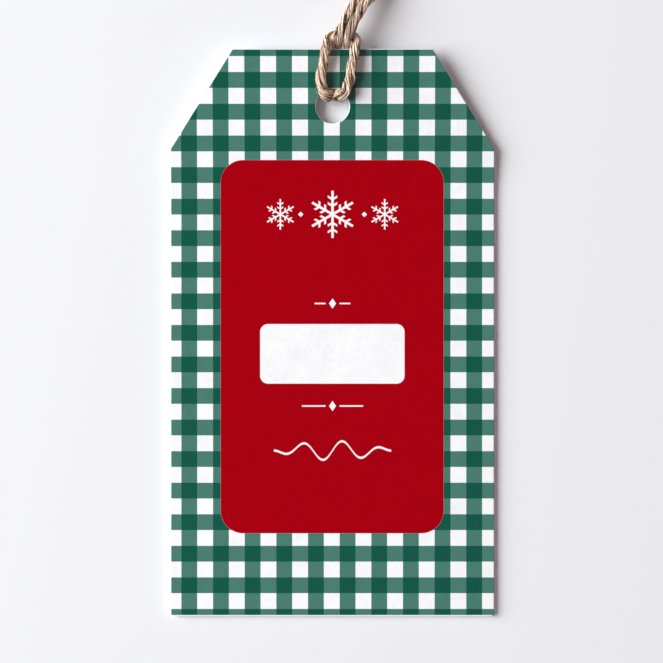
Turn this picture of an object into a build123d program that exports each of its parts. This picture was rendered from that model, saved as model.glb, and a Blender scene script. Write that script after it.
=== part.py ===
from build123d import *
from math import asin, cos, degrees, pi, radians, sin, tan
import os

# A gift tag: a card of two pasted sheets, hung on twine by a lark's head hitch.
# Millimetres. X runs across the card, Y along it towards the punched hole, and Z up from
# the surface that the tag lies on. The twine is pressed behind the card, and bends that end of
# it up a little.

# Card
card_width = 50.8
card_length = 88.9
sheet_thickness = 0.4
corner_cut_width = 9.8
corner_cut_length = 15.5
corner_radius = 0.6
edge_round = 0.15
hole_diameter = 5.3
hole_to_end = 8.9
bend_y = 22.5
bend_radius = 40

# Twine
twine_diameter = 1.4
card_gap = 0.3
floor_gap = 0.05
pressed_thickness = 1.0
rim_turn_depth = 1.2

# Bight of the hitch, which the tails turn about
bight_x = 1.5
bight_past_end = 2.95
bight_height = 0.08
hinge_radius = 4.2
hinge_gap = 0.2

# Coils of the put-away twine ends
coil_x = 4.6
coil_y = 65.6
coil_radius = 9.6
strand_pitch = 1.8
coil_entry_angle = -45
coil_lead = 2.8
left_coil_turns = [180, 180, 175]
right_coil_turns = [180, 180, 42]

# Share of the shorter run that an arc of the twine uses up
arc_share = 0.45

# Steps along the twine, and the reach past which two of its stretches are apart
gap_step = 0.25
gap_reach = 8

# Heights and places that follow from the sizes above
twine_radius = twine_diameter / 2
top_edge = card_length / 2
hole_y = top_edge - hole_to_end
hole_rim = hole_y + hole_diameter / 2
front_level = 2 * sheet_thickness + card_gap + twine_radius
pressed_back = -floor_gap - pressed_thickness
lay_level = twine_radius + floor_gap
rim_turn = hole_rim - top_edge - rim_turn_depth

# The card's end leans on the pressed twine behind its hole
pressed_end = top_edge + rim_turn - twine_radius
bend_reach = bend_radius / 10
card_lean = asin((pressed_thickness + 2 * floor_gap) / (pressed_end - bend_y))
card_plane = Plane(
    origin=(0, bend_y, 0),
    x_dir=(1, 0, 0),
    z_dir=(0, -sin(card_lean), cos(card_lean)),
)


def on_card(x, past_end, height):
    """Point at x across the card, past its top edge, at a height above its back face."""
    return card_plane.from_local_coords(Vector(x, top_edge - bend_y + past_end, height))


bight = on_card(bight_x, bight_past_end, bight_height)
bight_plane = Plane(origin=bight, x_dir=(0, 1, 0), z_dir=(1, 0, 0))

# Routes of the twine, chosen by hand: across the card, past its top edge, and height
left_front_route = [
    (-0.75, rim_turn, pressed_back),
    (-0.75, rim_turn, front_level),
    (-1.95, -6.1, front_level),
    (-2.15, -4.3, front_level),
    (-1.75, -2.5, front_level),
    (-1.35, -0.9, front_level),
    (-1.05, 0.6, front_level),
    (-0.95, 1.9, 0.7),
    (0.1, 2.8, bight_height),
]
right_front_route = [
    (2.9, 2.8, bight_height),
    (4.05, 1.75, 0.5),
    (3.6, 0.5, front_level),
    (3.25, -1.4, front_level),
    (2.95, -3.2, front_level),
    (2.65, -5.1, front_level),
    (2.3, -6.4, front_level),
    (1.0, rim_turn, front_level),
    (1.0, rim_turn, pressed_back),
]

# Twine pressed behind the card, from the hole to past the top edge, where it is round again
left_pressed_ends = [(-0.75, rim_turn), (0.5, 0.8)]
right_pressed_ends = [(1.0, rim_turn), (2.05, 0.8)]
left_rise = (0.5, 0.8, -floor_gap)
right_rise = (2.05, 0.8, -floor_gap)

# Over the bight and away, in the part's own axes
left_over = (1.0, 46.9, 4.15)
right_over = (2.55, 46.8, 4.3)
left_tail_route = [(2.75, 50.8, 2.75), (4.7, 54.2, 1.4)]
right_tail_route = [(4.5, 50.8, 3.15), (6.7, 53.6, 1.6)]


def bend_radii(points):
    """Largest arcs that leave each run of the route its straight middle."""
    radii = []
    for before, corner, after in zip(points, points[1:], points[2:]):
        run_in = corner - before
        run_out = after - corner
        half_turn = radians(run_in.get_angle(run_out)) / 2
        radii.append(arc_share * min(run_in.length, run_out.length) / tan(half_turn))
    return radii


def least_gap(path):
    """Smallest clear space between stretches of one twine that lie apart along its length."""
    count = round(path.length / gap_step)
    points = [path @ (i / count) for i in range(count + 1)]
    apart = round(gap_reach / gap_step)
    return min((p - q).length for i, p in enumerate(points) for q in points[i + apart :]) - twine_diameter


def sweep_twine(name, path):
    """Sweeps the twine's round section along a path and prints how well it fills it."""
    with BuildSketch(Plane(origin=path @ 0, z_dir=path % 0)) as section:
        Circle(twine_radius)
    tube = sweep(sections=section.sketch, path=path)
    filled = tube.volume / (pi * twine_radius**2 * path.length)
    print(f"{name}: length {path.length:.1f} mm, volume / (section x length) {filled:.4f}")
    print(f"{name}: least gap to itself {least_gap(path):.2f} mm")


def lay_twine(name, points):
    """A stretch of twine: straight runs joined by the largest tangent arcs."""
    points = [Vector(p) for p in points]
    radii = bend_radii(points)
    print(f"{name}: bend radii", [round(r, 1) for r in radii])
    with BuildLine() as path:
        FilletPolyline(*points, radius=radii)
    sweep_twine(name, path.wire())


def press_twine(start, end):
    """Outline of twine pressed flat, between two places across the card and past its top edge."""
    start, end = (Vector(x, top_edge - bend_y + past_end) for x, past_end in (start, end))
    SlotCenterPoint((start + end) / 2, end, twine_diameter)


def coil_heading():
    """Direction in which the twine runs into its coil."""
    angle = radians(coil_entry_angle)
    return Vector(-sin(angle), cos(angle))


def coil_start(radius):
    """Where a coil of this first radius begins, one twine diameter ahead of its first turn."""
    angle = radians(coil_entry_angle)
    edge = Vector(coil_x, coil_y, lay_level) + Vector(cos(angle), sin(angle)) * radius
    return edge - coil_heading() * twine_diameter


def tail_route(over, route, radius):
    """From over the bight, along the route, and straight into a coil of this first radius."""
    start = coil_start(radius)
    return [over, *route, start - coil_heading() * coil_lead, start]


def wind_coil(name, radius, turns):
    """A flat coil of arcs, each one pitch smaller than the last, with straight ends."""
    start = coil_start(radius)
    with BuildLine() as path:
        Line(start, start + coil_heading() * twine_diameter)
        for i, turn in enumerate(turns):
            JernArc(path.line @ 1, path.line % 1, radius - i * strand_pitch, turn)
        Line(path.line @ 1, path.line @ 1 + (path.line % 1) * twine_diameter)
    sweep_twine(name, path.wire())


def draw_tag():
    """The tag's outline with clipped top corners, soft bottom corners and a punched hole."""
    half = card_width / 2
    with BuildLine() as edge:
        Polyline(
            (-half, -top_edge),
            (half, -top_edge),
            (half, top_edge - corner_cut_length),
            (half - corner_cut_width, top_edge),
            (corner_cut_width - half, top_edge),
            (-half, top_edge - corner_cut_length),
            close=True,
        )
    outline = make_face(edge.edges())
    fillet(outline.vertices(), corner_radius)
    with Locations((0, hole_y)):
        Circle(hole_diameter / 2, mode=Mode.SUBTRACT)


def bend_line(level):
    """The card's side view at a level above its back face: flat, bent by an arc, then straight."""
    corner = bend_y - level * tan(card_lean / 2)
    end = on_card(0, bend_y, level)
    points = [(-card_length, level), (corner, level), (end.Y, end.Z)]
    return FilletPolyline(*points, radius=bend_radius - level)


def draw_side(level):
    """Side view of one bent sheet whose back is at this level, longer than the card at both ends."""
    with BuildLine() as side:
        back = bend_line(level)
        front = bend_line(level + sheet_thickness)
        Line(back @ 0, front @ 0)
        Line(back @ 1, front @ 1)
    make_face(side.edges())


def rim_edges(faces):
    """Edges round the outside of a bent sheet's face, without the two where its bend begins and ends."""
    edges = faces.edges()
    bends = edges.filter_by(Axis.X).filter_by_position(Axis.Y, bend_y - bend_reach, bend_y + bend_reach)
    return edges - bends


# Front sheet, which carries the print
with BuildPart() as front_sheet:
    with BuildSketch(Plane.YZ):
        draw_side(sheet_thickness)
    extrude(amount=card_width, both=True)
    with BuildSketch(Plane.XY):
        draw_tag()
    extrude(amount=card_width, mode=Mode.INTERSECT)
    front_face = front_sheet.faces().filter_by(lambda face: face.normal_at().Z > cos(2 * card_lean))
    fillet(rim_edges(front_face), edge_round)

# Back sheet, pasted behind it
with BuildPart() as back_sheet:
    with BuildSketch(Plane.YZ):
        draw_side(0)
    extrude(amount=card_width, both=True)
    with BuildSketch(Plane.XY):
        draw_tag()
    extrude(amount=card_width, mode=Mode.INTERSECT)
    back_face = back_sheet.faces().filter_by(lambda face: -face.normal_at().Z > cos(2 * card_lean))
    fillet(rim_edges(back_face), edge_round)

# Hitch: a loop through the hole, two pressed strands behind the card that rise over the loop's
# bight, all trimmed round where the tails turn
with BuildPart() as twine_hitch:
    lay_twine("hitch loop", [on_card(*p) for p in left_front_route + right_front_route])
    lay_twine("left strand", [on_card(*left_rise), left_over, *left_tail_route])
    lay_twine("right strand", [on_card(*right_rise), right_over, *right_tail_route])
    with BuildSketch(card_plane.offset(pressed_back)):
        press_twine(*left_pressed_ends)
        press_twine(*right_pressed_ends)
    extrude(amount=pressed_thickness)
    with BuildSketch(bight_plane):
        Circle(2 * hinge_radius)
        Circle(hinge_radius, mode=Mode.SUBTRACT)
        Rectangle(
            2 * hinge_radius,
            4 * hinge_radius,
            align=(Align.MIN, Align.CENTER),
            mode=Mode.INTERSECT,
        )
    extrude(amount=card_width / 2, both=True, mode=Mode.SUBTRACT)

# Tails: from the hitch to the coils
with BuildPart() as left_tail:
    lay_twine("left_tail", tail_route(left_over, left_tail_route, coil_radius - strand_pitch))
    with BuildSketch(bight_plane):
        Circle(hinge_radius + hinge_gap)
    extrude(amount=card_width / 2, both=True, mode=Mode.SUBTRACT)

with BuildPart() as right_tail:
    lay_twine("right_tail", tail_route(right_over, right_tail_route, coil_radius))
    with BuildSketch(bight_plane):
        Circle(hinge_radius + hinge_gap)
    extrude(amount=card_width / 2, both=True, mode=Mode.SUBTRACT)

# Coils: the left tail winds inside the right one
with BuildPart() as left_coil:
    wind_coil("left_coil", coil_radius - strand_pitch, left_coil_turns)

with BuildPart() as right_coil:
    wind_coil("right_coil", coil_radius, right_coil_turns)

front_sheet.part.label = "front_sheet"
back_sheet.part.label = "back_sheet"
twine_hitch.part.label = "twine_hitch"
left_tail.part.label = "left_tail"
right_tail.part.label = "right_tail"
left_coil.part.label = "left_coil"
right_coil.part.label = "right_coil"

print(f"card lean {degrees(card_lean):.2f} degrees, tails turn about {bight}")

os.makedirs("parts", exist_ok=True)
export_step(front_sheet.part, "parts/front_sheet.step")
export_step(back_sheet.part, "parts/back_sheet.step")
export_step(twine_hitch.part, "parts/twine_hitch.step")
export_step(left_tail.part, "parts/left_tail.step")
export_step(right_tail.part, "parts/right_tail.step")
export_step(left_coil.part, "parts/left_coil.step")
export_step(right_coil.part, "parts/right_coil.step")
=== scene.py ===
from math import asin, cos, pi, radians, sin, tan

import bpy
import numpy as np
from bpy.props import FloatProperty, FloatVectorProperty, IntProperty, PointerProperty
from bpy.types import NodeSocket, Operator, Panel, PropertyGroup
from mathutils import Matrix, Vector


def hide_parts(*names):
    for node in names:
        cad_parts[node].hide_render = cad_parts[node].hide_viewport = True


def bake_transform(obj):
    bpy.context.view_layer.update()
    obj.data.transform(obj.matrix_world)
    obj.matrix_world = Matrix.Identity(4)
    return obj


bl_info = {
    "name": "Gift Tag",
    "version": (1, 0, 0),
    "blender": (4, 5, 0),
    "location": "View3D > Sidebar > Gift Tag",
    "description": "Prints the card of a gift tag and lays its twine",
    "category": "Object",
}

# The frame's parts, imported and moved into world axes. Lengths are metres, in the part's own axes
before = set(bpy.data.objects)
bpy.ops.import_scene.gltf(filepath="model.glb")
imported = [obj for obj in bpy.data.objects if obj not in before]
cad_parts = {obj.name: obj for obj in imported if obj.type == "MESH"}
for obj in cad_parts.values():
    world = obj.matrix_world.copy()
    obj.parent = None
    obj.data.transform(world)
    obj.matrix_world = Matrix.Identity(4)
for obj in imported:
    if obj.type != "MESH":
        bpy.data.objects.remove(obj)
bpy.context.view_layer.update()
MM = 0.001

# Card
TOP_EDGE = 0.04445
HALF_WIDTH = 0.0254
SHEET_THICKNESS = 0.0004
CORNER_CUT = (0.0098, 0.0155)
HOLE_RADIUS = 0.00265
HOLE_Y = TOP_EDGE - 0.0089
CARD_BEND = 0.0225
PRINT_DRAW = 0.0065

# Print, in millimetres on the card from its middle, and how far its edges and its ink run
STRIPE_SHIFT = (-0.12, 0.09)
PANEL_MIDDLE = (-0.05, -2.1)
FIELD_MIDDLE = (-0.03, -3.21)
INK_DEPTH = 0.13
PRINT_SOFT = 0.025
RIM_SOFT = 0.02

# Ornaments, in millimetres: place across and along and reach of each crystal, height, half width, half
# length and place of each diamond or pair, height, start and end of each pair of rules, and the wave
CRYSTALS = ((0.0, 18.7, 3.7), (-8.2, 18.7, 2.4), (8.2, 18.7, 2.4))
DIAMONDS = ((18.7, 0.42, 0.42, 5.0), (4.7, 0.55, 0.8, 0.0), (-11.4, 0.55, 0.8, 0.0))
RULES = ((4.7, 1.1, 2.8), (-11.4, 1.1, 4.8))
RULE_HALF_WIDTH = 0.11
WAVE_Y = -18.4
WAVE_REACH = 9.2
WAVE_LENGTH = 6.13
WAVE_SWING = 1.5
WAVE_HALF_WIDTH = 0.17

# A crystal's arm, as shares of its reach: half width, side bars' places, their reach and half width
ARM_HALF_WIDTH = 0.05
SIDE_BARS = (0.36, 0.64)
SIDE_REACH = 0.2
SIDE_HALF_WIDTH = 0.042
CRYSTAL_SOFT = 0.008
DIAMOND_SOFT = 0.04
WAVE_SOFT = 0.03

# Twine as the solids have it: round in front of the card, and pressed behind it, where it bends it up
TWINE_DIAMETER = 0.0014
CARD_GAP = 0.0003
FLOOR_GAP = 0.00005
PRESSED_THICKNESS = 0.001
LAY_LEVEL = TWINE_DIAMETER / 2 + FLOOR_GAP
RIM_TURN = HOLE_Y + HOLE_RADIUS - TOP_EDGE - 0.0012
FRONT_LEVEL = 2 * SHEET_THICKNESS + CARD_GAP + TWINE_DIAMETER / 2
BACK_LEVEL = -FLOOR_GAP - PRESSED_THICKNESS / 2
BIGHT_LEVEL = 0.00008
PRESSED_END = TOP_EDGE + RIM_TURN - TWINE_DIAMETER / 2
CARD_LEAN = asin((PRESSED_THICKNESS + 2 * FLOOR_GAP) / (PRESSED_END - CARD_BEND))
BIGHT = (0.0015, 0.047314, 0.002065)

# Routes of the twine on the card: across it, past its top edge, and above its back face. Each leg goes
# into the hole a little nearer its rim than the solids do
LEFT_DRAWN = RIM_TURN + 0.00046
RIGHT_DRAWN = RIM_TURN + 0.00032
LEFT_BACK = [
    (0.0003, 0.0003, BACK_LEVEL),
    (0.0, -0.0022, BACK_LEVEL),
    (-0.0004, -0.0050, BACK_LEVEL),
    (-0.00068, LEFT_DRAWN, BACK_LEVEL),
]
LEFT_FRONT = [
    (-0.00068, LEFT_DRAWN, FRONT_LEVEL),
    (-0.0017, -0.0066, FRONT_LEVEL),
    (-0.0019, -0.0045, FRONT_LEVEL),
    (-0.00155, -0.0025, FRONT_LEVEL),
    (-0.0012, -0.0009, FRONT_LEVEL),
    (-0.00095, 0.0004, FRONT_LEVEL),
    (-0.0008, 0.0014, 0.0009),
    (0.0002, 0.0025, BIGHT_LEVEL),
]
RIGHT_FRONT = [
    (0.0028, 0.0025, BIGHT_LEVEL),
    (0.0040, 0.0014, 0.0007),
    (0.00355, 0.0003, FRONT_LEVEL),
    (0.00325, -0.0014, FRONT_LEVEL),
    (0.00295, -0.0032, FRONT_LEVEL),
    (0.00262, -0.0051, FRONT_LEVEL),
    (0.0021, -0.0067, FRONT_LEVEL),
    (0.00095, RIGHT_DRAWN, FRONT_LEVEL),
]
RIGHT_BACK = [
    (0.00095, RIGHT_DRAWN, BACK_LEVEL),
    (0.0012, -0.0050, BACK_LEVEL),
    (0.0016, -0.0022, BACK_LEVEL),
    (0.00195, 0.0003, BACK_LEVEL),
]

# Over the bight and away, in the part's axes
LEFT_OVER = (0.0011, 0.0467, 0.00415)
RIGHT_OVER = (0.00245, 0.0466, 0.0043)
LEFT_TAIL = [(0.00295, 0.0508, 0.0032), (0.00495, 0.0542, 0.0021)]
RIGHT_TAIL = [(0.00445, 0.0508, 0.0036), (0.00685, 0.0536, 0.0023)]

# Coils of the put-away ends
COIL_CENTRE = np.array((0.0046, 0.0656))
COIL_RADIUS = 0.0096
STRAND_PITCH = 0.0018
COIL_ENTRY = radians(-45)
COIL_LEAD = 0.0028
LEFT_COIL_TURN = radians(535)
RIGHT_COIL_TURN = radians(402)
COIL_POINTS_PER_TURN = 20

# How finely the twine is drawn, and where its ends start and stop bending
SPLINE_STEPS = 24
STATION_STEP = 0.00016
ANGLES = 48
SPLAY_REACH = 0.002
CONTACT_GAP = 0.00002
LAID_STEPS = 16
STRAY_STEPS = 8
STRAY_PAST = 0.0013
SEED = 11

# Yarns, as shares of the twine's radius, with the size and length in millimetres of their swells, the
# counts of their ridges, and how much of a turn their fibres make against the lay
YARN_MIDDLE = 0.45
YARN_RADIUS = 0.55
SWELLS = ((0.05, 17.0), (0.04, 7.3), (0.03, 3.1))
RIDGES = (5, 8, 11, 15, 19)
RIDGE_HEIGHT = 0.000022
RIDGE_WANDER = 1.1
RIDGE_WAVE = (3.0, 8.0)
FIBRE_TURN = 0.85
CUT_RAGGED = (-0.00022, 0.00012)

# Ranges of the laid and the stray fibres. Spans, waves, widths and climbs are millimetres, places round
# a yarn are radians, stands and the laid root are shares of its radius, and the stray root of the twine
LAID_SPAN = (4.0, 13.0)
LAID_WAVE = (3.0, 7.0)
LAID_WANDER = (0.08, 0.4)
LAID_STAND = (-0.05, 0.36)
LAID_TONE = (-1.0, 3.0)
LAID_WIDTH = (0.04, 0.11)
LAID_PLACE = 0.85
LAID_PLACE_MOST = 1.9
LAID_SLANT = 0.8
LAID_ROOT = 0.82
CUT_SHARE = 6
CUT_REACH = 0.0012
CUT_SPAN = (0.6, 2.0)
STRAY_SPAN = (0.5, 5.0)
STRAY_CLIMB = (0.05, 1.2)
STRAY_ROOT = 0.42
STRAY_WIDTH = (0.012, 0.028)

# Stage: the soft box, the light from all round, the camera over the print, and the floor
SOFT_BOX_PLACE = (-1.25, 0.2, 0.78)
SOFT_BOX_SIZE = 1.38
SOFT_BOX_TINT = (0.957, 1.0, 1.0)
WORLD_TINT = (1.0, 0.77, 0.76, 1.0)
CAMERA_PLACE = (-0.00016, 0.0003)
CAMERA_CLIP = 0.01
PRINT_LEVEL = 0.0009
FLOOR_REACH = 3.0


def from_srgb(red, green, blue):
    """Linear colour of a written one, each part 0 to 255."""
    share = np.array((red, green, blue)) / 255
    linear = np.where(share <= 0.04045, share / 12.92, ((share + 0.055) / 1.055) ** 2.4)
    return tuple(float(v) for v in linear)


def number(name, description, default, **settings):
    """A number that a user may change."""
    return FloatProperty(name=name, description=description, default=default, **settings)


def length(name, description, default):
    """A length that a user may change."""
    return number(name, description, default, unit="LENGTH", precision=5)


def whole_number(name, description, default, **settings):
    """A whole number that a user may change."""
    return IntProperty(name=name, description=description, default=default, **settings)


def colour(name, description, default):
    """A colour that a user may change."""
    return FloatVectorProperty(
        name=name, description=description, default=default, subtype="COLOR", min=0.0, max=1.0
    )


class CardSettings(PropertyGroup):
    """Print and paper of the card."""

    stripe_across: length("Upright stripe", "Width of an upright gingham stripe", 0.002486)
    stripe_along: length("Level stripe", "Height of a level gingham stripe", 0.002478)
    panel_width: length("Panel width", "Width of the red panel", 0.03505)
    panel_length: length("Panel length", "Length of the red panel", 0.05861)
    panel_corner: length("Panel corner", "Corner radius of the red panel", 0.00357)
    field_width: length("Field width", "Width of the white name field", 0.02268)
    field_length: length("Field length", "Length of the white name field", 0.00936)
    field_corner: length("Field corner", "Corner radius of the name field", 0.00124)
    top_margin: length("Top margin", "Unprinted rim at the end with the hole", 0.00013)
    end_margin: length("End margin", "Unprinted rim at the other end", 0.00022)
    corner_margin: length("Corner margin", "Unprinted rim along the clipped corners", 0.00004)
    hole_margin: length("Hole margin", "Unprinted rim round the hole", 0.00008)
    side_margin: length("Side margin", "Unprinted rim along the sides", 0.00003)
    pale_green: colour("Pale green", "Where one stripe is printed", from_srgb(74, 126, 113))
    deep_green: colour("Deep green", "Where two stripes cross", from_srgb(22, 88, 72))
    red: colour("Red", "Panel ink", from_srgb(166, 1, 18))
    paper: colour("Paper", "White of the card", from_srgb(248, 250, 253))


class TwineSettings(PropertyGroup):
    """Build and fibres of the twine."""

    diameter: length("Diameter", "Thickness over the plies", 0.00144)
    lay: length("Lay", "Length in which a ply goes once round", 0.0104)
    splay: number("Splay", "How much the twine widens over the hole's rim", 0.38)
    plies: whole_number("Plies", "Yarns twisted together", 3, min=2, max=5)
    laid: whole_number("Laid fibres", "Fibres lying on each half", 680, min=0)
    strays: whole_number("Stray fibres", "Loose fibres on each half", 260, min=0)
    straw: colour("Straw", "Palest fibres", from_srgb(255, 237, 216))
    tan: colour("Tan", "Most of the fibres", from_srgb(249, 191, 158))
    # Brown is the colour of the darkest fibres, and also the painted shade in the gaps between the
    # yarns
    brown: colour("Brown", "Darkest fibres and the gaps", from_srgb(56, 17, 5))


class StageSettings(PropertyGroup):
    """Floor, light and camera."""

    floor: colour("Floor", "Colour of the plain floor", from_srgb(238, 240, 244))
    key_power: number("Key power", "Watts of the soft box", 41.0, unit="POWER")
    fill: number("Fill", "Strength of the light from all round", 0.24)
    lens: number("Lens", "Camera lens", 100.0, subtype="DISTANCE_CAMERA")
    view_width: length("View width", "Width that the camera sees at the card", 0.1041)


class Wiring:
    """Adds nodes to one tree. A socket given as an input is linked, and any other value is set."""

    def __init__(self, tree):
        self.tree = tree

    def feed(self, socket, value):
        """Links a socket to an input, or sets the input's value."""
        if isinstance(value, NodeSocket):
            self.tree.links.new(value, socket)
        else:
            socket.default_value = value

    def node(self, kind, inputs=None, **settings):
        """A node with its settings and inputs."""
        made = self.tree.nodes.new(kind)
        for name, value in settings.items():
            setattr(made, name, value)
        for key, value in (inputs or {}).items():
            self.feed(made.inputs[key], value)
        return made

    def math(self, operation, *values, clamp=False):
        """One sum."""
        inputs = dict(enumerate(values))
        return self.node("ShaderNodeMath", inputs, operation=operation, use_clamp=clamp).outputs[0]

    def mix(self, share, first, second, blend="MIX"):
        """Two colours mixed."""
        inputs = {0: share, 6: first, 7: second}
        return self.node("ShaderNodeMix", inputs, data_type="RGBA", blend_type=blend).outputs[2]

    def noise(self, vector, scale, detail=2.0, roughness=0.5):
        """Noise from 0 to 1 about a half."""
        inputs = {"Vector": vector, "Scale": scale, "Detail": detail, "Roughness": roughness}
        return self.node("ShaderNodeTexNoise", inputs).outputs["Fac"]

    def stretch(self, vector, scale):
        """The vector with each of its parts scaled."""
        inputs = {"Vector": vector, "Scale": scale}
        return self.node("ShaderNodeMapping", inputs).outputs["Vector"]

    def group(self, tree, inputs):
        """A node group and its outputs."""
        made = self.node("ShaderNodeGroup", node_tree=tree)
        for key, value in inputs.items():
            self.feed(made.inputs[key], value)
        return made.outputs

    def hypot(self, first, second):
        """Length of two parts at right angles."""
        square = self.math("MULTIPLY", second, second)
        return self.math("SQRT", self.math("MULTIPLY_ADD", first, first, square))

    def within(self, distance, softness):
        """Mask of where a distance, positive inside, is above zero, with a soft edge."""
        return self.math("MULTIPLY_ADD", distance, 0.5 / softness, 0.5, clamp=True)

    def largest(self, *values):
        """Largest of several values."""
        found = values[0]
        for value in values[1:]:
            found = self.math("MAXIMUM", found, value)
        return found


def new_group(name, inputs, outputs):
    """An empty shader node group with float inputs, or vectors where named so, and float outputs."""
    tree = bpy.data.node_groups.new(name, "ShaderNodeTree")
    for socket in inputs:
        kind = "NodeSocketVector" if socket == "Vector" else "NodeSocketFloat"
        tree.interface.new_socket(socket, in_out="INPUT", socket_type=kind)
    for socket in outputs:
        tree.interface.new_socket(socket, in_out="OUTPUT", socket_type="NodeSocketFloat")
    wiring = Wiring(tree)
    return wiring, wiring.node("NodeGroupInput").outputs, wiring.node("NodeGroupOutput").inputs


def new_material(name):
    """A material with its wiring and its principled shader."""
    material = bpy.data.materials.new(name)
    material.use_nodes = True
    wiring = Wiring(material.node_tree)
    return material, wiring, material.node_tree.nodes["Principled BSDF"]


def card_stock_group():
    """Uncoated card: upright fibres and fine tooth, as a tone about a half and a height."""
    wires, given, result = new_group("Card stock", ["Vector"], ["Tone", "Height"])
    fibres = wires.noise(wires.stretch(given["Vector"], (5.0, 1.3, 5.0)), 1.0, 3.0, 0.6)
    tooth = wires.noise(given["Vector"], 11.0, 2.0, 0.6)
    clouds = wires.noise(given["Vector"], 0.5, 2.0)
    grain = wires.math("MULTIPLY_ADD", tooth, 0.35, wires.math("MULTIPLY", fibres, 0.65))
    tone = wires.math("MULTIPLY_ADD", clouds, 0.3, wires.math("MULTIPLY", grain, 0.7))
    wires.feed(result["Height"], grain)
    wires.feed(result["Tone"], tone)
    return wires.tree


def card_stock():
    """The card stock group, built once."""
    return bpy.data.node_groups.get("Card stock") or card_stock_group()


def rounded_panel_group():
    """Mask of a rounded rectangle: the distance to its outline is the length of what sticks out past
    the rectangle of the corners' middles, less the corner radius."""
    names = ["Across", "Along", "Half Width", "Half Length", "Corner"]
    wires, given, result = new_group("Rounded panel", names, ["Mask"])
    past = []
    for place, half in (("Across", "Half Width"), ("Along", "Half Length")):
        inner = wires.math("SUBTRACT", given[half], given["Corner"])
        past.append(wires.math("SUBTRACT", wires.math("ABSOLUTE", given[place]), inner))
    out = [wires.math("MAXIMUM", value, 0.0) for value in past]
    inner = wires.math("MINIMUM", wires.math("MAXIMUM", *past), 0.0)
    inside = wires.math("SUBTRACT", given["Corner"], wires.math("ADD", wires.hypot(*out), inner))
    wires.feed(result["Mask"], wires.within(inside, PRINT_SOFT))
    return wires.tree


def snow_crystal_group():
    """Mask of a six-armed crystal: the angle is folded into one half of an arm, which is a bar with two
    side bars at sixty degrees."""
    wires, given, result = new_group("Snow crystal", ["Across", "Along", "Reach"], ["Mask"])
    across = wires.math("DIVIDE", given["Across"], given["Reach"])
    along = wires.math("DIVIDE", given["Along"], given["Reach"])
    reach = wires.hypot(across, along)
    folded = wires.math("PINGPONG", wires.math("ARCTAN2", across, along), pi / 6)
    out = wires.math("MULTIPLY", reach, wires.math("COSINE", folded))
    aside = wires.math("MULTIPLY", reach, wires.math("SINE", folded))
    end = wires.math("SUBTRACT", 1.0, out)
    bars = [wires.math("MINIMUM", wires.math("SUBTRACT", ARM_HALF_WIDTH, aside), end)]
    for start in SIDE_BARS:
        slant = wires.math("MULTIPLY", wires.math("SUBTRACT", out, start), sin(pi / 3))
        off = wires.math("ABSOLUTE", wires.math("MULTIPLY_ADD", aside, -cos(pi / 3), slant))
        end = wires.math("SUBTRACT", SIDE_REACH, aside)
        bars.append(wires.math("MINIMUM", wires.math("SUBTRACT", SIDE_HALF_WIDTH, off), end))
    wires.feed(result["Mask"], wires.within(wires.largest(*bars), CRYSTAL_SOFT))
    return wires.tree


def past_bend(wires, along):
    """Millimetres past the card's bend, and zero before it."""
    return wires.math("MAXIMUM", wires.math("SUBTRACT", along, CARD_BEND / MM), 0.0)


def card_coordinates(wires):
    """Millimetres across the card, along it from its middle, and above its back face, which rises
    evenly past the bend."""
    vector = wires.stretch(wires.node("ShaderNodeTexCoord").outputs["Object"], (1 / MM, 1 / MM, 1 / MM))
    across, along, height = wires.node("ShaderNodeSeparateXYZ", {"Vector": vector}).outputs
    above = wires.math("MULTIPLY_ADD", past_bend(wires, along), -tan(CARD_LEAN), height)
    return vector, (across, along, above)


def gingham_masks(wires, across, along, card):
    """Masks of the upright and the level stripes: each is as wide as the space beside it. The level
    ones are drawn together a little past the bend."""
    along = wires.math("MULTIPLY_ADD", past_bend(wires, along), PRINT_DRAW, along)
    upright, level = card.stripe_across / MM, card.stripe_along / MM
    starts = (upright + STRIPE_SHIFT[0], STRIPE_SHIFT[1])
    masks = []
    for place, wide, start in zip((across, along), (upright, level), starts):
        folded = wires.math("PINGPONG", wires.math("SUBTRACT", place, start), wide)
        masks.append(wires.within(wires.math("SUBTRACT", wide / 2, folded), PRINT_SOFT))
    return masks


def bare_rim_mask(wires, across, along, card):
    """Mask of where ink may lie: inside the card's straight edges, its clipped corners and its hole."""
    half, top = HALF_WIDTH / MM, TOP_EDGE / MM
    cut_across, cut_along = (cut / MM for cut in CORNER_CUT)
    slope = (cut_across**2 + cut_along**2) ** 0.5
    aside = wires.math("SUBTRACT", half, wires.math("ABSOLUTE", across))
    above = wires.math("SUBTRACT", top - card.top_margin / MM, along)
    below = wires.math("ADD", along, top - card.end_margin / MM)
    slant = wires.math("MULTIPLY", wires.math("SUBTRACT", top, along), cut_across / slope)
    corner = wires.math("MULTIPLY_ADD", aside, cut_along / slope, slant)
    corner = wires.math("SUBTRACT", corner, cut_across * cut_along / slope)
    up = wires.math("SUBTRACT", along, HOLE_Y / MM)
    hole = wires.math("SUBTRACT", wires.hypot(across, up), HOLE_RADIUS / MM)
    margins = (card.side_margin, card.corner_margin, card.hole_margin)
    nearest = wires.math("MINIMUM", above, below)
    for room, margin in zip((aside, corner, hole), margins):
        nearest = wires.math("MINIMUM", nearest, wires.math("SUBTRACT", room, margin / MM))
    return wires.within(nearest, RIM_SOFT)


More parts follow.
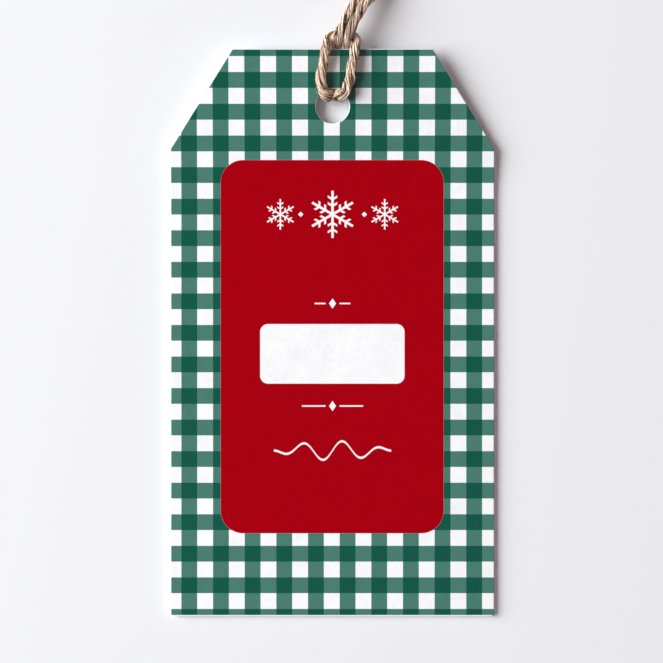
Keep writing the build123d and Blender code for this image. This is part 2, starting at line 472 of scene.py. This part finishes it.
def ornament_mask(wires, across, along):
    """Mask of the plain white ornaments: a row of snow crystals with tiny diamonds between them, two
    small diamonds with rules, and a wave that dies away towards its ends."""
    crystal = snow_crystal_group()
    marks = []
    for place, height, reach in CRYSTALS:
        inputs = {
            "Across": wires.math("SUBTRACT", across, place),
            "Along": wires.math("SUBTRACT", along, height),
            "Reach": reach,
        }
        marks.append(wires.group(crystal, inputs)["Mask"])
    aside = wires.math("ABSOLUTE", across)
    for height, wide, tall, middle in DIAMONDS:
        level = wires.math("ABSOLUTE", wires.math("SUBTRACT", along, height))
        level = wires.math("DIVIDE", level, tall)
        place = wires.math("ABSOLUTE", wires.math("SUBTRACT", aside, middle))
        place = wires.math("DIVIDE", place, wide)
        inside = wires.math("SUBTRACT", 1.0, wires.math("ADD", level, place))
        marks.append(wires.within(inside, DIAMOND_SOFT))
    for height, start, end in RULES:
        level = wires.math("ABSOLUTE", wires.math("SUBTRACT", along, height))
        after, before = wires.math("SUBTRACT", aside, start), wires.math("SUBTRACT", end, aside)
        bar = wires.math("SUBTRACT", RULE_HALF_WIDTH, level)
        bar = wires.math("MINIMUM", bar, wires.math("MINIMUM", after, before))
        marks.append(wires.within(bar, RIM_SOFT))
    far = wires.math("DIVIDE", across, WAVE_REACH)
    swing = wires.math("SUBTRACT", 1.0, wires.math("MULTIPLY", far, far))
    wave = wires.math("SINE", wires.math("MULTIPLY", across, 2 * pi / WAVE_LENGTH))
    wave = wires.math("MULTIPLY", wires.math("MULTIPLY", wave, WAVE_SWING), swing)
    off = wires.math("SUBTRACT", wires.math("SUBTRACT", along, WAVE_Y), wave)
    line = wires.math("SUBTRACT", WAVE_HALF_WIDTH, wires.math("ABSOLUTE", off))
    line = wires.math("MINIMUM", line, wires.math("SUBTRACT", WAVE_REACH, aside))
    marks.append(wires.within(line, WAVE_SOFT))
    return wires.largest(*marks)


def finish_card(wires, shader, stock, vector, base, roughness):
    """Paper tone over a base colour, and the paper's tooth as a bump."""
    grain = wires.group(stock, {"Vector": vector})
    tone = wires.math("MULTIPLY_ADD", grain["Tone"], 0.55, 0.725)
    shade = wires.node("ShaderNodeCombineColor", {0: tone, 1: tone, 2: tone}).outputs[0]
    wires.feed(shader.inputs["Base Color"], wires.mix(1.0, base, shade, "MULTIPLY"))
    wires.feed(shader.inputs["Roughness"], roughness)
    shader.inputs["Specular IOR Level"].default_value = 0.01
    bump = {"Height": grain["Height"], "Strength": 0.35, "Distance": 0.00004}
    wires.feed(shader.inputs["Normal"], wires.node("ShaderNodeBump", bump).outputs["Normal"])


def printed_card_material(card, stock):
    """Green gingham, red panel, white field and ornaments, on white card with a bare rim."""
    material, wires, shader = new_material("printed_card")
    vector, (across, along, above) = card_coordinates(wires)
    paper = (*card.paper, 1.0)
    upright, level = gingham_masks(wires, across, along, card)
    pale, deep = (*card.pale_green, 1.0), (*card.deep_green, 1.0)
    cloth = wires.mix(level, wires.mix(upright, paper, pale), wires.mix(upright, pale, deep))
    panel = rounded_panel_group()
    sizes = (
        (card.panel_width, card.panel_length, card.panel_corner, *PANEL_MIDDLE),
        (card.field_width, card.field_length, card.field_corner, *FIELD_MIDDLE),
    )
    masks = []
    for width, tall, corner, middle, height in sizes:
        inputs = {
            "Across": wires.math("SUBTRACT", across, middle),
            "Along": wires.math("SUBTRACT", along, height),
            "Half Width": width / MM / 2,
            "Half Length": tall / MM / 2,
            "Corner": corner / MM,
        }
        masks.append(wires.group(panel, inputs)["Mask"])
    red_mask, field_mask = masks
    bare = wires.math("MAXIMUM", field_mask, ornament_mask(wires, across, along))
    red = wires.math("MULTIPLY", red_mask, wires.math("SUBTRACT", 1.0, bare))
    inked = wires.mix(red_mask, cloth, wires.mix(red, paper, (*card.red, 1.0)))
    face = wires.within(wires.math("SUBTRACT", above, 2 * SHEET_THICKNESS / MM - INK_DEPTH), RIM_SOFT)
    printed = wires.math("MULTIPLY", face, bare_rim_mask(wires, across, along, card))
    base = wires.mix(printed, paper, inked)
    cover = wires.math("MULTIPLY", printed, wires.largest(upright, level, red))
    gloss = wires.noise(vector, 3.0, 3.0)
    roughness = wires.math("MULTIPLY_ADD", cover, -0.2, wires.math("MULTIPLY_ADD", gloss, 0.1, 0.8))
    finish_card(wires, shader, stock, vector, base, roughness)
    return material


def plain_card_material(card, stock):
    """Bare white card, a little uneven in tone."""
    material, wires, shader = new_material("plain_card")
    vector, _ = card_coordinates(wires)
    flecks = wires.noise(vector, 1.7, 4.0, 0.7)
    warm = tuple(share * value for share, value in zip((0.97, 0.96, 0.94), card.paper))
    base = wires.mix(flecks, (*card.paper, 1.0), (*warm, 1.0))
    roughness = wires.math("MULTIPLY_ADD", flecks, 0.12, 0.78)
    finish_card(wires, shader, stock, vector, base, roughness)
    return material


def jute_material(twine):
    """Straw, tan and brown fibres along the yarns, with painted shade in brown in the gaps between them
    and where the laid fibres sink into them.
    """
    material, wires, shader = new_material("jute_twine")
    fibre = wires.node("ShaderNodeAttribute", attribute_name="fibre").outputs["Vector"]
    crest = wires.node("ShaderNodeAttribute", attribute_name="crest").outputs["Fac"]
    fine = wires.noise(wires.stretch(fibre, (5.5, 5.5, 0.35)), 1.0, 3.0, 0.65)
    broad = wires.noise(wires.stretch(fibre, (2.6, 2.6, 0.3)), 1.0, 2.0)
    streak = wires.math("MULTIPLY_ADD", fine, 0.7, wires.math("MULTIPLY", broad, 0.3))
    ramp = wires.node("ShaderNodeValToRGB", {"Fac": streak})
    stops = ramp.color_ramp.elements
    stops[0].position, stops[0].color = 0.40, (*twine.brown, 1.0)
    stops[1].position, stops[1].color = 0.50, (*twine.straw, 1.0)
    middle = stops.new(0.44)
    middle.color = (*twine.tan, 1.0)
    # Painted shade: the colour turns brown where the crest share is low, in the valleys between yarns
    # and at the sunk ends of laid fibres
    gap_shade = wires.math("SUBTRACT", 1.0, wires.math("POWER", crest, 0.8))
    base = wires.mix(gap_shade, ramp.outputs["Color"], (*twine.brown, 1.0))
    wires.feed(shader.inputs["Base Color"], base)
    wires.feed(shader.inputs["Roughness"], wires.math("MULTIPLY_ADD", fine, 0.3, 0.6))
    shader.inputs["Specular IOR Level"].default_value = 0.06
    bump = {"Height": fine, "Strength": 1.0, "Distance": 0.0001}
    wires.feed(shader.inputs["Normal"], wires.node("ShaderNodeBump", bump).outputs["Normal"])
    return material


def on_card(points):
    """Points across the card, past its top edge and above its back face, in the part's axes: turned by
    the lean of the card's end about its bend."""
    across, past, above = np.asarray(points, float).T
    along = TOP_EDGE - CARD_BEND + past
    back = CARD_BEND + along * cos(CARD_LEAN) - above * sin(CARD_LEAN)
    return np.column_stack((across, back, along * sin(CARD_LEAN) + above * cos(CARD_LEAN)))


def coil_points(radius, turn):
    """A straight lead, then a flat coil: its reach falls evenly with the angle, two pitches a turn."""
    outward = np.array((cos(COIL_ENTRY), sin(COIL_ENTRY)))
    heading = np.array((-sin(COIL_ENTRY), cos(COIL_ENTRY)))
    edge = COIL_CENTRE + outward * radius
    start = edge - heading * TWINE_DIAMETER
    turned = np.linspace(0, turn, round(turn / (2 * pi) * COIL_POINTS_PER_TURN) + 1)
    reach = radius + STRAND_PITCH / 2 - STRAND_PITCH * turned / pi
    middle = COIL_CENTRE - outward * STRAND_PITCH / 2
    angle = COIL_ENTRY + turned
    wound = middle + reach[:, None] * np.column_stack((np.cos(angle), np.sin(angle)))
    flat = np.vstack((start - heading * COIL_LEAD, start, wound))
    return np.column_stack((flat, np.full(len(flat), LAY_LEVEL)))


def twine_route():
    """The route's points from the left cut end, through the hitch, to the right cut end."""
    left = np.vstack((LEFT_OVER, *LEFT_TAIL, coil_points(COIL_RADIUS - STRAND_PITCH, LEFT_COIL_TURN)))
    right = np.vstack((RIGHT_OVER, *RIGHT_TAIL, coil_points(COIL_RADIUS, RIGHT_COIL_TURN)))
    hitch = on_card(LEFT_BACK + LEFT_FRONT + RIGHT_FRONT + RIGHT_BACK)
    return np.vstack((left[::-1], hitch, right))


def spline_points(points):
    """Points along the smooth spline whose control points are the route's."""
    curve = bpy.data.curves.new("twine_route", "CURVE")
    curve.dimensions = "3D"
    spline = curve.splines.new("NURBS")
    spline.points.add(len(points) - 1)
    spline.points.foreach_set("co", np.column_stack((points, np.ones(len(points)))).ravel())
    spline.order_u = 3
    spline.use_endpoint_u = True
    spline.resolution_u = SPLINE_STEPS
    holder = bpy.data.objects.new("twine_route", curve)
    mesh = bpy.data.meshes.new_from_object(holder)
    found = np.empty(len(mesh.vertices) * 3)
    mesh.vertices.foreach_get("co", found)
    bpy.data.objects.remove(holder)
    bpy.data.curves.remove(curve)
    bpy.data.meshes.remove(mesh)
    return found.reshape(-1, 3)


class TwineLine:
    """The twine's centreline at even stations, with its tangent and two crosswise directions that turn
    no more than the line itself does."""

    def __init__(self, points, splay):
        runs = np.linalg.norm(np.diff(points, axis=0), axis=1)
        passed = np.concatenate(([0.0], np.cumsum(runs)))
        self.along = np.linspace(0.0, passed[-1], round(passed[-1] / STATION_STEP) + 1)
        self.centre = np.column_stack([np.interp(self.along, passed, part) for part in points.T])
        tangent = np.gradient(self.centre, axis=0)
        self.tangent = tangent / np.linalg.norm(tangent, axis=1, keepdims=True)
        side = [np.cross(self.tangent[0], (0.0, 0.0, 1.0))]
        for direction in self.tangent:
            carried = side[-1] - direction * (side[-1] @ direction)
            side.append(carried / np.linalg.norm(carried))
        self.side = np.array(side[1:])
        self.other = np.cross(self.tangent, self.side)
        rim = on_card([(0.0, RIM_TURN, SHEET_THICKNESS)])
        away = np.linalg.norm((self.centre - rim) * (0.5, 1.0, 1.0), axis=1)
        self.spread = 1 + splay * np.exp(-((away / SPLAY_REACH) ** 2))

    def pick(self, values, along):
        """Values kept at the stations, at any length along the line."""
        return np.stack([np.interp(along, self.along, part) for part in values.T], axis=-1)

    def at(self, along, angle, reach):
        """Points at a length along the line, an angle round it and a reach from it, kept off the card
        and the floor. The reach is drawn wider where the twine splays."""
        reach = reach * np.interp(along, self.along, self.spread)
        kept = (self.centre, self.side, self.other)
        centre, side, other = (self.pick(values, along) for values in kept)
        out = np.cos(angle)[..., None] * side + np.sin(angle)[..., None] * other
        return keep_off(centre + reach[..., None] * out, centre)


def yarn_surface(twine, along, angle, dice):
    """Reach, fibre coordinates and crest share of the twine's surface, over lengths by angles.

    Each yarn is a circle whose middle goes round the twine's own once a lay. The surface is the
    outermost circle: m cos(a) + sqrt(y^2 - (m sin(a))^2), where m is how far the yarns' middles are
    out, y a yarn's radius, and a the angle from the nearest yarn. The yarns swell and thin along their
    length, and ridges, sums of sines that follow the fibres, stand on them. The fibres lie nearly
    lengthwise.
    """
    over = twine.diameter / 2
    middle, yarn = YARN_MIDDLE * over, YARN_RADIUS * over
    turned = angle[None, :] + 2 * pi * along[:, None] / twine.lay
    share = 2 * pi / twine.plies
    nearest = np.round(turned / share)
    offset = turned - nearest * share
    which = nearest.astype(int) % twine.plies
    station = np.arange(len(along))[:, None]
    phases = dice.uniform(0, 2 * pi, (len(SWELLS), twine.plies))
    swell = sum(
        size * np.sin(2 * pi * along[None, :] / (wave * MM) + phase[:, None])
        for (size, wave), phase in zip(SWELLS, phases)
    )
    yarn = yarn * (1 + swell[which, station])
    reach = middle * np.cos(offset) + np.sqrt(yarn**2 - (middle * np.sin(offset)) ** 2)
    round_yarn = np.arctan2(reach * np.sin(offset), reach * np.cos(offset) - middle)
    fibre = round_yarn - FIBRE_TURN * 2 * pi / twine.lay * over / yarn.mean() * along[:, None]
    valley = middle * cos(share / 2) + (yarn**2 - (middle * sin(share / 2)) ** 2) ** 0.5
    # Crest share: 0 in the valley between yarns, 1 on a yarn's top; the material paints shade in the
    # valleys from it
    crest = np.clip((reach - valley) / (middle + yarn - valley), 0, 1)
    ridges = np.zeros_like(reach)
    for count in RIDGES:
        phase, drift = dice.uniform(0, 2 * pi, (2, twine.plies))
        wave = dice.uniform(*RIDGE_WAVE) * MM
        wander = RIDGE_WANDER * np.sin(2 * pi * along[:, None] / wave + drift[which])
        ridges += np.sin(count * fibre + phase[which] + wander) / count**0.5
    reach = reach + RIDGE_HEIGHT * ridges * (0.4 + 0.6 * crest)
    around = yarn / MM
    lengthwise = along[:, None] / MM + 0 * fibre
    coordinates = (around * np.cos(fibre) + 3.0 * which, around * np.sin(fibre), lengthwise)
    return reach, np.stack(coordinates, axis=-1), crest


def grid_faces(rows, columns):
    """Quads of a grid that is closed round its columns, and fans that close its two ends."""
    row = np.arange(rows - 1)[:, None] * columns
    column = np.arange(columns)[None, :]
    after = (column + 1) % columns
    above = row + columns
    quads = np.stack((row + column, row + after, above + after, above + column), axis=-1)
    ring, ahead = np.arange(columns), (np.arange(columns) + 1) % columns
    last = (rows - 1) * columns
    first_fan = np.column_stack((ahead, ring, np.full(columns, rows * columns)))
    last_fan = np.column_stack((last + ring, last + ahead, np.full(columns, rows * columns + 1)))
    return quads.reshape(-1, 4), np.vstack((first_fan, last_fan))


def keep_off(points, centre):
    """Points kept above the floor, and on the side of the card that the twine's middle is on."""
    rise, run = cos(CARD_LEAN), sin(CARD_LEAN)
    above, level = (p[..., 2] * rise - (p[..., 1] - CARD_BEND) * run for p in (points, centre))
    in_hole = np.hypot(points[..., 0], points[..., 1] - HOLE_Y) < HOLE_RADIUS
    covered = (points[..., 1] < TOP_EDGE) & ~in_hole
    front = np.maximum(above, 2 * SHEET_THICKNESS + CONTACT_GAP)
    wanted = np.where(level > SHEET_THICKNESS, front, np.minimum(above, -CONTACT_GAP))
    height = points[..., 2] + np.where(covered, wanted - above, 0.0)
    return np.concatenate((points[..., :2], np.maximum(height, CONTACT_GAP)[..., None]), axis=-1)


def thread_tubes(middle, width):
    """Thin three-sided tubes along rows of points, of a half width at each, closed at their ends."""
    count, steps = width.shape
    lead = np.gradient(middle, axis=1)
    lead /= np.linalg.norm(lead, axis=2, keepdims=True) + 1e-12
    cross = np.cross(lead, np.array((0.31, 0.22, 0.92)))
    cross /= np.linalg.norm(cross, axis=2, keepdims=True)
    third = np.cross(lead, cross)
    corner = np.arange(3) * 2 * pi / 3
    level, upright = np.cos(corner)[:, None], np.sin(corner)[:, None]
    ring = level * cross[:, :, None, :] + upright * third[:, :, None, :]
    points = middle[:, :, None, :] + width[..., None, None] * ring
    sides, _ = grid_faces(steps, 3)
    last = (steps - 1) * 3
    caps = np.array(((2, 1, 0), (last, last + 1, last + 2)))
    offset = np.arange(count)[:, None, None] * steps * 3
    return points.reshape(-1, 3), ((offset + sides).reshape(-1, 4), (offset + caps).reshape(-1, 3))


def laid_fibres(line, twine, start, end, dice):
    """Fibres that lie on the yarns: each keeps its place round its yarn as the yarn winds, wanders a
    little by a sine, stands out of the yarn along its middle and sinks back into it at both ends."""
    steps = np.linspace(0, 1, LAID_STEPS)[None, :]
    count = twine.laid
    span = dice.uniform(*LAID_SPAN, count)[:, None] * MM
    along = start + dice.uniform(0, 1, count)[:, None] * (end - start - span) + span * steps
    middle, yarn = YARN_MIDDLE * twine.diameter / 2, YARN_RADIUS * twine.diameter / 2
    place = dice.normal(0, LAID_PLACE, count).clip(-LAID_PLACE_MOST, LAID_PLACE_MOST)[:, None]
    wave = dice.uniform(*LAID_WAVE, count)[:, None] * MM
    phase = dice.uniform(0, 2 * pi, count)[:, None]
    place = place + dice.uniform(*LAID_WANDER, count)[:, None] * np.sin(2 * pi * along / wave + phase)
    place = place + dice.normal(0, LAID_SLANT, count)[:, None] * (steps - 0.5)
    stand = dice.uniform(*LAID_STAND, count)[:, None] + 0.05 * np.sin(2 * pi * along / (0.6 * wave))
    sunk = np.sin(pi * steps) ** 0.4
    out = yarn * (LAID_ROOT + (1 - LAID_ROOT + stand) * sunk)
    across, aside = middle + out * np.cos(place), out * np.sin(place)
    ply = 2 * pi / twine.plies * dice.integers(0, twine.plies, count)[:, None]
    angle = ply - 2 * pi * along / twine.lay + np.arctan2(aside, across)
    tone = dice.uniform(*LAID_TONE, count).clip(0, 1)[:, None]
    width = dice.uniform(*LAID_WIDTH, count)[:, None] * MM * (0.4 + 0.6 * sunk) * (0.45 + 0.55 * tone)
    points, faces = thread_tubes(line.at(along, angle, np.hypot(across, aside)), width)
    coordinates = np.empty((count, LAID_STEPS, 3, 3))
    coordinates[...] = dice.uniform(0, 90, (count, 1, 1, 3))
    coordinates[..., 2] += along[..., None] / MM
    # Crest share of a laid fibre: its own tone, lower for dark fibres, times painted shade that darkens
    # its ends where they sink into the yarn
    crest = np.broadcast_to((tone * (0.5 + 0.5 * sunk))[..., None], (count, LAID_STEPS, 3))
    return points, coordinates.reshape(-1, 3), crest.ravel(), faces


def stray_fibres(line, twine, start, end, cut, dice):
    """Loose fibres: each leaves the surface along the twine, climbs with a power of its length, swings
    round a little and thins to a point. More stand at the cut end, and none passes the other end."""
    steps = np.linspace(0, 1, STRAY_STEPS)[None, :]
    at_cut = twine.strays // CUT_SHARE
    count = twine.strays + at_cut
    inner = start + end - cut
    inward = np.sign(inner - cut)
    begin = dice.uniform(start, end, count)
    begin[twine.strays :] = cut + inward * dice.uniform(0, CUT_REACH, at_cut)
    way = dice.choice((-1.0, 1.0), count)
    way[twine.strays :] = -inward
    span = dice.gamma(2.2, 0.9, count).clip(*STRAY_SPAN) * MM
    span[twine.strays :] = dice.uniform(*CUT_SPAN, at_cut) * MM
    way = np.where((begin + way * span - inner) * inward > 0, -way, way)
    climb = (dice.gamma(1.4, 0.25, count).clip(*STRAY_CLIMB) * MM)[:, None]
    first = dice.uniform(0, 2 * pi, count)
    swing = dice.uniform(-1.0, 1.0, count)[:, None]
    along = begin[:, None] + way[:, None] * span[:, None] * steps * (1 - 0.25 * steps)
    after, before = np.maximum(along - line.along[-1], 0), np.minimum(along - line.along[0], 0)
    past = STRAY_PAST * np.tanh(np.where(way[:, None] > 0, after, before) / STRAY_PAST)
    angle = first[:, None] + swing * steps**1.5
    reach = STRAY_ROOT * twine.diameter + climb * steps**1.7
    ends = np.where(way[:, None, None] > 0, line.tangent[-1], line.tangent[0])
    middle = line.at(along, angle, reach) + past[..., None] * ends
    width = (dice.uniform(*STRAY_WIDTH, count) * MM)[:, None] * (1 - 0.85 * steps**2)
    points, faces = thread_tubes(middle, width)
    coordinates = np.empty((count, STRAY_STEPS, 3, 3))
    coordinates[...] = dice.uniform(0, 40, (count, 1, 1, 3))
    coordinates[..., 2] += along[..., None] / MM
    return points, coordinates.reshape(-1, 3), np.ones(len(points)), faces


def join_meshes(name, parts):
    """One mesh of several parts, each with its points, fibre coordinates, crest shares and faces."""
    faces, first = [], 0
    for points, _, _, groups in parts:
        for group in groups:
            faces += (group + first).tolist()
        first += len(points)
    mesh = bpy.data.meshes.new(name)
    points = np.vstack([part[0] for part in parts])
    points[:, 2] = np.maximum(points[:, 2], CONTACT_GAP)
    mesh.from_pydata(points, [], faces)
    mesh.polygons.foreach_set("use_smooth", np.ones(len(mesh.polygons), bool))
    threads = np.vstack([part[1] for part in parts])
    crests = np.concatenate([part[2] for part in parts])
    mesh.attributes.new("fibre", "FLOAT_VECTOR", "POINT").data.foreach_set("vector", threads.ravel())
    mesh.attributes.new("crest", "FLOAT", "POINT").data.foreach_set("value", crests)
    mesh.update()
    return mesh


def lay_half(name, line, surface, twine, rows, cut_row, dice):
    """One half of the twine as a mesh: the yarns' surface over its stations, closed at both ends, the
    fibres that lie on it, and its stray fibres."""
    reach, fibre, crest = (part[rows] for part in surface)
    angle = np.linspace(0, 2 * pi, ANGLES, endpoint=False)
    along = line.along[rows]
    points = line.at(along[:, None] + 0 * reach, angle[None, :] + 0 * reach, reach)
    ragged = np.zeros_like(reach)
    ragged[cut_row] = dice.uniform(*CUT_RAGGED, ANGLES)
    points += ragged[..., None] * line.tangent[rows][:, None, :]
    body = (
        np.vstack((points.reshape(-1, 3), line.centre[rows][[0, -1]])),
        np.vstack((fibre.reshape(-1, 3), np.zeros((2, 3)))),
        # Painted shade: the crest share, lowered a little, darkens the valleys between yarns, and the
        # two cap middles get zero and are painted full brown
        np.concatenate((0.9 * crest.ravel(), np.zeros(2))),
        grid_faces(len(along), ANGLES),
    )
    laid = laid_fibres(line, twine, along[0], along[-1], dice)
    strays = stray_fibres(line, twine, along[0], along[-1], along[cut_row], dice)
    piece = bpy.data.objects.new(name, join_meshes(name, (body, laid, strays)))
    bpy.context.scene.collection.objects.link(piece)
    return piece


def dress(node, material):
    """Gives a CAD node one material."""
    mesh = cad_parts[node].data
    mesh.materials.clear()
    mesh.materials.append(material)


class GIFTTAG_OT_set_stage(Operator):
    """Sets a plain floor, a soft box on the left, light from all round, and the camera overhead"""

    bl_idname = "gift_tag.set_stage"
    bl_label = "Set stage"

    def execute(self, context):
        scene = context.scene
        stage = scene.gift_tag_stage
        scene.view_settings.view_transform = "Standard"
        self.lay_floor(scene, stage)
        self.hang_lamps(scene, stage)
        camera = bpy.data.objects.new("camera", bpy.data.cameras.new("camera"))
        camera.data.lens = stage.lens
        height = PRINT_LEVEL + stage.view_width * stage.lens / camera.data.sensor_width
        camera.location = (*CAMERA_PLACE, height)
        camera.data.clip_start = CAMERA_CLIP
        scene.collection.objects.link(camera)
        scene.camera = camera
        return {"FINISHED"}

    def lay_floor(self, scene, stage):
        """A wide flat sheet just under the part."""
        mesh = bpy.data.meshes.new("floor")
        signs = ((-1, -1), (1, -1), (1, 1), (-1, 1))
        corners = [(x * FLOOR_REACH, y * FLOOR_REACH, 0) for x, y in signs]
        mesh.from_pydata(corners, [], [(0, 1, 2, 3)])
        material, _, shader = new_material("floor")
        shader.inputs["Base Color"].default_value = (*stage.floor, 1.0)
        shader.inputs["Roughness"].default_value = 0.7
        shader.inputs["Specular IOR Level"].default_value = 0.2
        mesh.materials.append(material)
        floor = bpy.data.objects.new("floor", mesh)
        scene.collection.objects.link(floor)

    def hang_lamps(self, scene, stage):
        """A soft box up on the left that looks at the card, and an even world."""
        lamp = bpy.data.lights.new("soft_box", "AREA")
        lamp.shape = "DISK"
        lamp.size = SOFT_BOX_SIZE
        lamp.energy = stage.key_power
        lamp.color = SOFT_BOX_TINT
        key = bpy.data.objects.new("soft_box", lamp)
        key.location = SOFT_BOX_PLACE
        key.rotation_euler = (-Vector(key.location)).to_track_quat("-Z", "Y").to_euler()
        scene.collection.objects.link(key)
        world = bpy.data.worlds.new("studio")
        world.use_nodes = True
        inputs = world.node_tree.nodes["Background"].inputs
        inputs["Color"].default_value = WORLD_TINT
        inputs["Strength"].default_value = stage.fill
        scene.world = world


class GIFTTAG_OT_lay_twine(Operator):
    """Lays the twine from one cut end through the hitch to the other, in two halves"""

    bl_idname = "gift_tag.lay_twine"
    bl_label = "Lay twine"

    def execute(self, context):
        twine = context.scene.gift_tag_twine
        dice = np.random.default_rng(SEED)
        line = TwineLine(spline_points(twine_route()), twine.splay)
        angle = np.linspace(0, 2 * pi, ANGLES, endpoint=False)
        surface = yarn_surface(twine, line.along, angle, dice)
        middle = int(np.argmin(np.linalg.norm(line.centre - np.array(BIGHT), axis=1)))
        material = jute_material(twine)
        left, right = ("left_tail", "left_coil", "twine_hitch"), ("right_tail", "right_coil")
        halves = (
            ("twine_left", slice(0, middle + 1), 0, "left_twine_end", left),
            ("twine_right", slice(middle, None), -1, "right_twine_end", right),
        )
        for name, rows, cut_row, body, nodes in halves:
            piece = lay_half(name, line, surface, twine, rows, cut_row, dice)
            piece.data.materials.append(material)
            path = line.centre[rows]
            path = path[::-1] if cut_row == 0 else path
            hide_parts(*nodes)
            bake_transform(piece)
        return {"FINISHED"}


class GIFTTAG_OT_print_front(Operator):
    """Prints the front sheet with its gingham, panel, field and ornaments"""

    bl_idname = "gift_tag.print_front"
    bl_label = "Print front sheet"

    def execute(self, context):
        dress("front_sheet", printed_card_material(context.scene.gift_tag_card, card_stock()))
        return {"FINISHED"}


class GIFTTAG_OT_finish_back(Operator):
    """Gives the back sheet its bare white card"""

    bl_idname = "gift_tag.finish_back"
    bl_label = "Finish back sheet"

    def execute(self, context):
        dress("back_sheet", plain_card_material(context.scene.gift_tag_card, card_stock()))
        return {"FINISHED"}


class GIFTTAG_PT_panel(Panel):
    """Lists the tag's steps and settings"""

    bl_idname = "GIFTTAG_PT_panel"
    bl_label = "Gift Tag"
    bl_space_type = "VIEW_3D"
    bl_region_type = "UI"
    bl_category = "Gift Tag"

    def draw(self, context):
        steps = (
            (GIFTTAG_OT_set_stage, context.scene.gift_tag_stage),
            (GIFTTAG_OT_lay_twine, context.scene.gift_tag_twine),
            (GIFTTAG_OT_print_front, context.scene.gift_tag_card),
            (GIFTTAG_OT_finish_back, None),
        )
        for step, settings in steps:
            box = self.layout.box()
            box.operator(step.bl_idname)
            for name in getattr(type(settings), "__annotations__", ()):
                box.prop(settings, name)


CLASSES = (
    CardSettings,
    TwineSettings,
    StageSettings,
    GIFTTAG_OT_set_stage,
    GIFTTAG_OT_lay_twine,
    GIFTTAG_OT_print_front,
    GIFTTAG_OT_finish_back,
    GIFTTAG_PT_panel,
)


def register():
    """Registers the classes and hangs the settings on the scene."""
    for item in CLASSES:
        bpy.utils.register_class(item)
    bpy.types.Scene.gift_tag_card = PointerProperty(type=CardSettings)
    bpy.types.Scene.gift_tag_twine = PointerProperty(type=TwineSettings)
    bpy.types.Scene.gift_tag_stage = PointerProperty(type=StageSettings)


def unregister():
    """Takes the settings off the scene and unregisters the classes."""
    del bpy.types.Scene.gift_tag_stage
    del bpy.types.Scene.gift_tag_twine
    del bpy.types.Scene.gift_tag_card
    for item in reversed(CLASSES):
        bpy.utils.unregister_class(item)


def main():
    """Builds the tag and its stage."""
    register()
    bpy.ops.gift_tag.set_stage()
    bpy.ops.gift_tag.lay_twine()
    bpy.ops.gift_tag.print_front()
    bpy.ops.gift_tag.finish_back()


if __name__ == "__main__":
    main()
